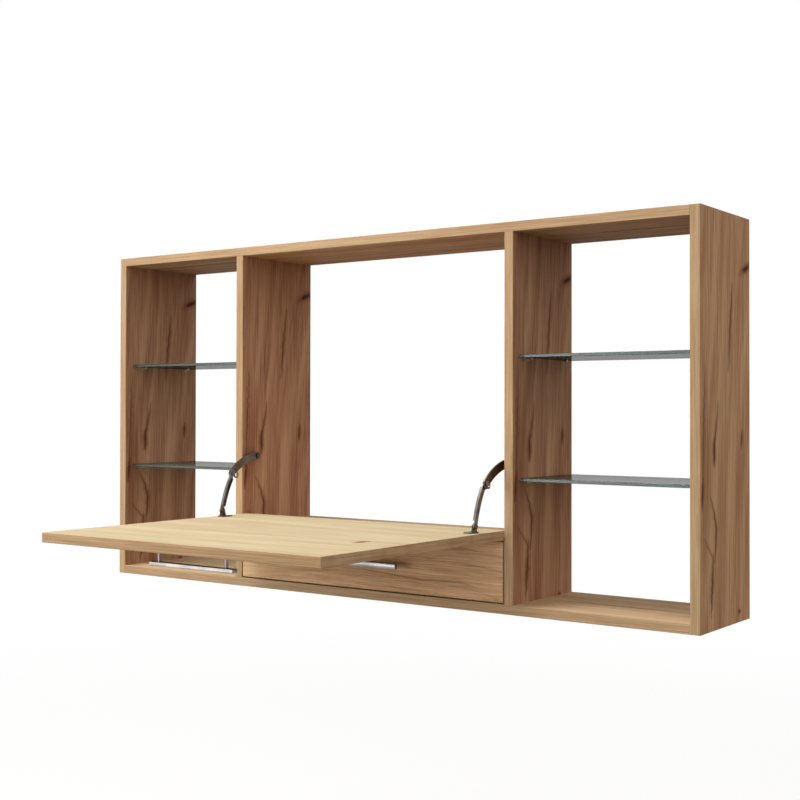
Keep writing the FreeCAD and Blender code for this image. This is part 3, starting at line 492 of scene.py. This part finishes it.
# The stays' nickel has a dark brown base colour: a painted reflection of the wood and of the dim room
# round it.
stay_nickel_painted_reflection = plated_metal(
    "nickel-plated steel, painted reflection", paint(104, 90, 76), paint(66, 55, 45), roughness=0.34, rubs=pressed_rubs
)
stay_pieces = ["stay_foot_brackets", "stay_foot_rivets", "stay_foot_screws", "stay_wall_screws"]
stay_pieces += ["left_upper_stay_arm", "right_upper_stay_arm", "stay_spacer_bushes"]
dress(stay_nickel_painted_reflection, *stay_pieces, "flap_pivot_pins", "catch_magnet")

# The lower arms and joint pins are the stays' nickel in a paler grey: painted light where they catch
# the light.
lower_arm_nickel_painted_light = plated_metal(
    "nickel, painted light", paint(140, 131, 124), paint(98, 90, 84), roughness=0.42, rubs=pressed_rubs
)
arm_pieces = [f"{side}_{piece}" for side in sides for piece in ("lower_stay_arm", "stay_joint_pin")]
dress(lower_arm_nickel_painted_light, *arm_pieces)

pin_nickel = plated_metal(
    "bright nickel", paint(176, 167, 154), paint(146, 137, 124), roughness=0.26, rubs=turned_rubs
)
dress(pin_nickel, "shelf_support_pins")

zinc = plated_metal(
    "zinc-plated steel", paint(196, 198, 198), paint(150, 152, 152), roughness=0.30, rubs=turned_rubs
)
zinc_pieces = ["cam_bolts", "divider_screws", "wall_hanger_plates", "wall_hanger_screws"]
zinc_pieces += ["runner_screws", "carcass_roller_axles", "catch_steel_disc", "flap_handle_screws"]
zinc_pieces += ["drawer_handle_screws", "drawer_box_screws", "drawer_runner_screws"]
dress(zinc, *zinc_pieces, "drawer_roller_axles", "cam_housings")


# ---- Bar handles ----
# Flat aluminium bars with a slightly domed face, brushed along their length. Each stands on two
# turned posts, which are pulled tight by screws through the board.
bar_bright = paint(142, 139, 135)
bar_dull = paint(112, 109, 105)
brushed_rubs = (20, 1400, 1400)
for board, axis in (("flap", "y"), ("drawer", "z")):
    near, far = (corner["xyz".index(axis)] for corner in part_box(f"{board}_handle_bar"))
    bar = plated_metal(
        f"brushed aluminium, {board}", bar_bright, bar_dull, roughness=0.26, rubs=brushed_rubs,
        crown=(axis, near, far)
    )
    dress(bar, f"{board}_handle_bar", f"{board}_handle_posts")


# ---- Drawer ----
# Oak decor front, and a box of foil-wrapped board with a thin bottom sheet in a groove. It runs
# on white powder-coated roller runners.
drawer_low, drawer_high = (Vector(corner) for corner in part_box("drawer_front"))


def drawer_band(place):
    """The bands on all four edges of the drawer front."""
    ends = abs(place["x"]) > drawer_high.x - band_sheet
    upper = place["z"] > drawer_high.z - band_sheet
    lower = place["z"] < drawer_low.z + band_sheet
    return ends.either(upper).either(lower)


# The drawer front is printed much brighter than the other boards: painted light in the shade under the
# open flap.
drawer_painted_light_tones = (paint(254, 214, 168), paint(204, 156, 116))
drawer_heart = (-0.05, drawer_low.z - 0.02, 0.15)
drawer_decor = oak_decor(
    "oak decor, drawer front", "xzy", drawer_heart, drawer_band,
    stretch=21.0, tones=drawer_painted_light_tones, vivid=1.3
)
dress(drawer_decor, "drawer_front")


def plain_finish(name, colour, shade, roughness, mottles, depth):
    """Foil, powder coat, nylon or beech: a faint mottle, so many spots to the metre and so deep."""
    material, start = new_finish(name)
    mottle = start.cloud(start.point(*coordinates(start).values()), mottles, 3.0, 0.6)
    sockets = {
        "Base Color": mottle.soft_step(0.3, 0.75).between(colour, shade),
        "Roughness": roughness + mottle * 0.1,
        "Normal": relief(start, mottle, depth),
    }
    close_finish(start, sockets)
    return material


foil = plain_finish(
    "drawer box foil", paint(226, 222, 212), paint(214, 209, 198),
    roughness=0.42, mottles=160.0, depth=0.00003
)
dress(foil, "drawer_left_side", "drawer_right_side", "drawer_back", "drawer_bottom")

powder = plain_finish(
    "white powder coat", paint(236, 236, 232), paint(226, 226, 221),
    roughness=0.38, mottles=900.0, depth=0.00006
)
dress(powder, *(f"{side}_{kind}_runner" for side in sides for kind in ("fixed", "drawer")))

nylon = plain_finish(
    "moulded nylon", paint(228, 225, 214), paint(216, 212, 200),
    roughness=0.35, mottles=240.0, depth=0.00002
)
rollers = [f"{side}_{where}_roller" for side in sides for where in ("carcass", "drawer")]
dress(nylon, "flap_pivot_bushes", *rollers)

beech = plain_finish(
    "beech", paint(214, 178, 134), paint(196, 158, 114),
    roughness=0.6, mottles=300.0, depth=0.0001
)
dress(beech, "panel_dowels")


# ---- Floor and light ----
# Plain pale floor, so far down that the writing surface stands 74 cm above it. One soft box hangs
# above the front left and one stands low there, and the pale room all round is brightest towards
# the right and the front.
writing_height = 0.74
floor_size = 60.0
bpy.ops.mesh.primitive_plane_add(size=floor_size, location=(0.0, 0.0, flap_high.z - writing_height))
floor = bpy.context.object
floor.name = "floor"
pure_white = paint(255, 255, 255)
floor_pale = paint(246, 246, 245)
floor_dim = paint(238, 238, 236)
floor_bounce = paint(92, 88, 82)


def seen_ray(start):
    """1 for a ray that shows something: straight, mirrored or through glass."""
    kinds = ("Camera", "Glossy", "Transmission")
    straight, mirrored, through = (
        start.add("ShaderNodeLightPath", {}, {}, f"Is {kind} Ray") for kind in kinds
    )
    return straight.either(mirrored).either(through)


def floor_finish():
    """Pale floor with the desk's soft shadow, which fades to pure white further out."""
    fade_near, fade_far = 1.0, 3.5
    glow_near = 0.85
    material, start = new_finish("pale floor")
    seen = seen_ray(start)
    x, y, z = coordinates(start).values()
    distance = (x * x + y * y).root()
    mottle = start.cloud(start.point(x, y, z), 30.0)
    shade = seen.between(floor_bounce, (mottle * 0.1).between(floor_pale, floor_dim))
    matt = {"Base Color": shade, "Roughness": 1.0, "Specular IOR Level": 0.0}
    lit = start.add("ShaderNodeBsdfPrincipled", {}, matt)
    glow = start.add("ShaderNodeEmission", {}, {"Color": pure_white, "Strength": 1.0})
    share = seen * (glow_near + distance.soft_step(fade_near, fade_far) * (1 - glow_near))
    surface = start.add("ShaderNodeMixShader", {}, {0: share, 1: lit, 2: glow})
    start.add("ShaderNodeOutputMaterial", {}, {"Surface": surface})
    return material


floor.data.materials.append(floor_finish())

world = bpy.data.worlds.new("pale room")
bpy.context.scene.world = world
world.use_nodes = True
world.node_tree.nodes.clear()
sky = Wire(world.node_tree)
way = sky.add("ShaderNodeTexCoord", {}, {}, "Generated")
rightward = sky.add("ShaderNodeSeparateXYZ", {}, {0: way}, "X")
rearward = sky.add("ShaderNodeSeparateXYZ", {}, {0: way}, "Y")
room_dim = (0.16, 0.149, 0.138, 1.0)
room_bright = (0.94, 0.872, 0.818, 1.0)
room_light = (rightward * 0.85 - rearward * 0.45).soft_step(-1.0, 1.0).between(room_dim, room_bright)
room = sky.add("ShaderNodeBackground", {}, {"Color": room_light, "Strength": 1.0})
white = sky.add("ShaderNodeBackground", {}, {"Color": pure_white, "Strength": 1.0})
backdrop = sky.add("ShaderNodeMixShader", {}, {0: seen_ray(sky), 1: room, 2: white})
sky.add("ShaderNodeOutputWorld", {}, {"Surface": backdrop})


def soft_box(name, place, aim, size, power):
    """Square lamp at a place, turned to a point."""
    lamp = bpy.data.lights.new(name, "AREA")
    lamp.shape = "SQUARE"
    lamp.size = size
    lamp.energy = power
    holder = bpy.data.objects.new(name, lamp)
    holder.location = place
    holder.rotation_euler = (Vector(aim) - Vector(place)).to_track_quat("-Z", "Y").to_euler()
    bpy.context.scene.collection.objects.link(holder)


soft_box("key soft box", place=(-1.1, -1.0, 2.3), aim=(0.0, -0.4, -0.4), size=1.5, power=86.0)
soft_box("fill soft box", place=(-1.6, -3.0, -0.45), aim=(0.0, -0.2, -0.3), size=1.6, power=35.0)


# ---- Camera ----
# It stands to the right of the desk and a little above its middle, and looks left along it. A
# small shift of the lens brings the whole desk into view.
eye_place = (1.2702, -1.9559, -0.2288)
eye_turn = math.radians(37.27)
eye_tilt = math.radians(0.643)
eye_roll = math.radians(0.14)
lens = bpy.data.cameras.new("camera")
lens.sensor_width = 36.0
lens.lens = 59.15
lens.shift_x = 0.0875
lens.shift_y = -0.0057
looking = Euler((math.pi / 2 + eye_tilt, 0.0, eye_turn)).to_matrix()
eye = bpy.data.objects.new("camera", lens)
eye.location = eye_place
eye.rotation_euler = (looking @ Matrix.Rotation(eye_roll, 3, "Z")).to_euler()
bpy.context.scene.collection.objects.link(eye)
bpy.context.scene.camera = eye
bpy.context.scene.view_settings.view_transform = "Standard"
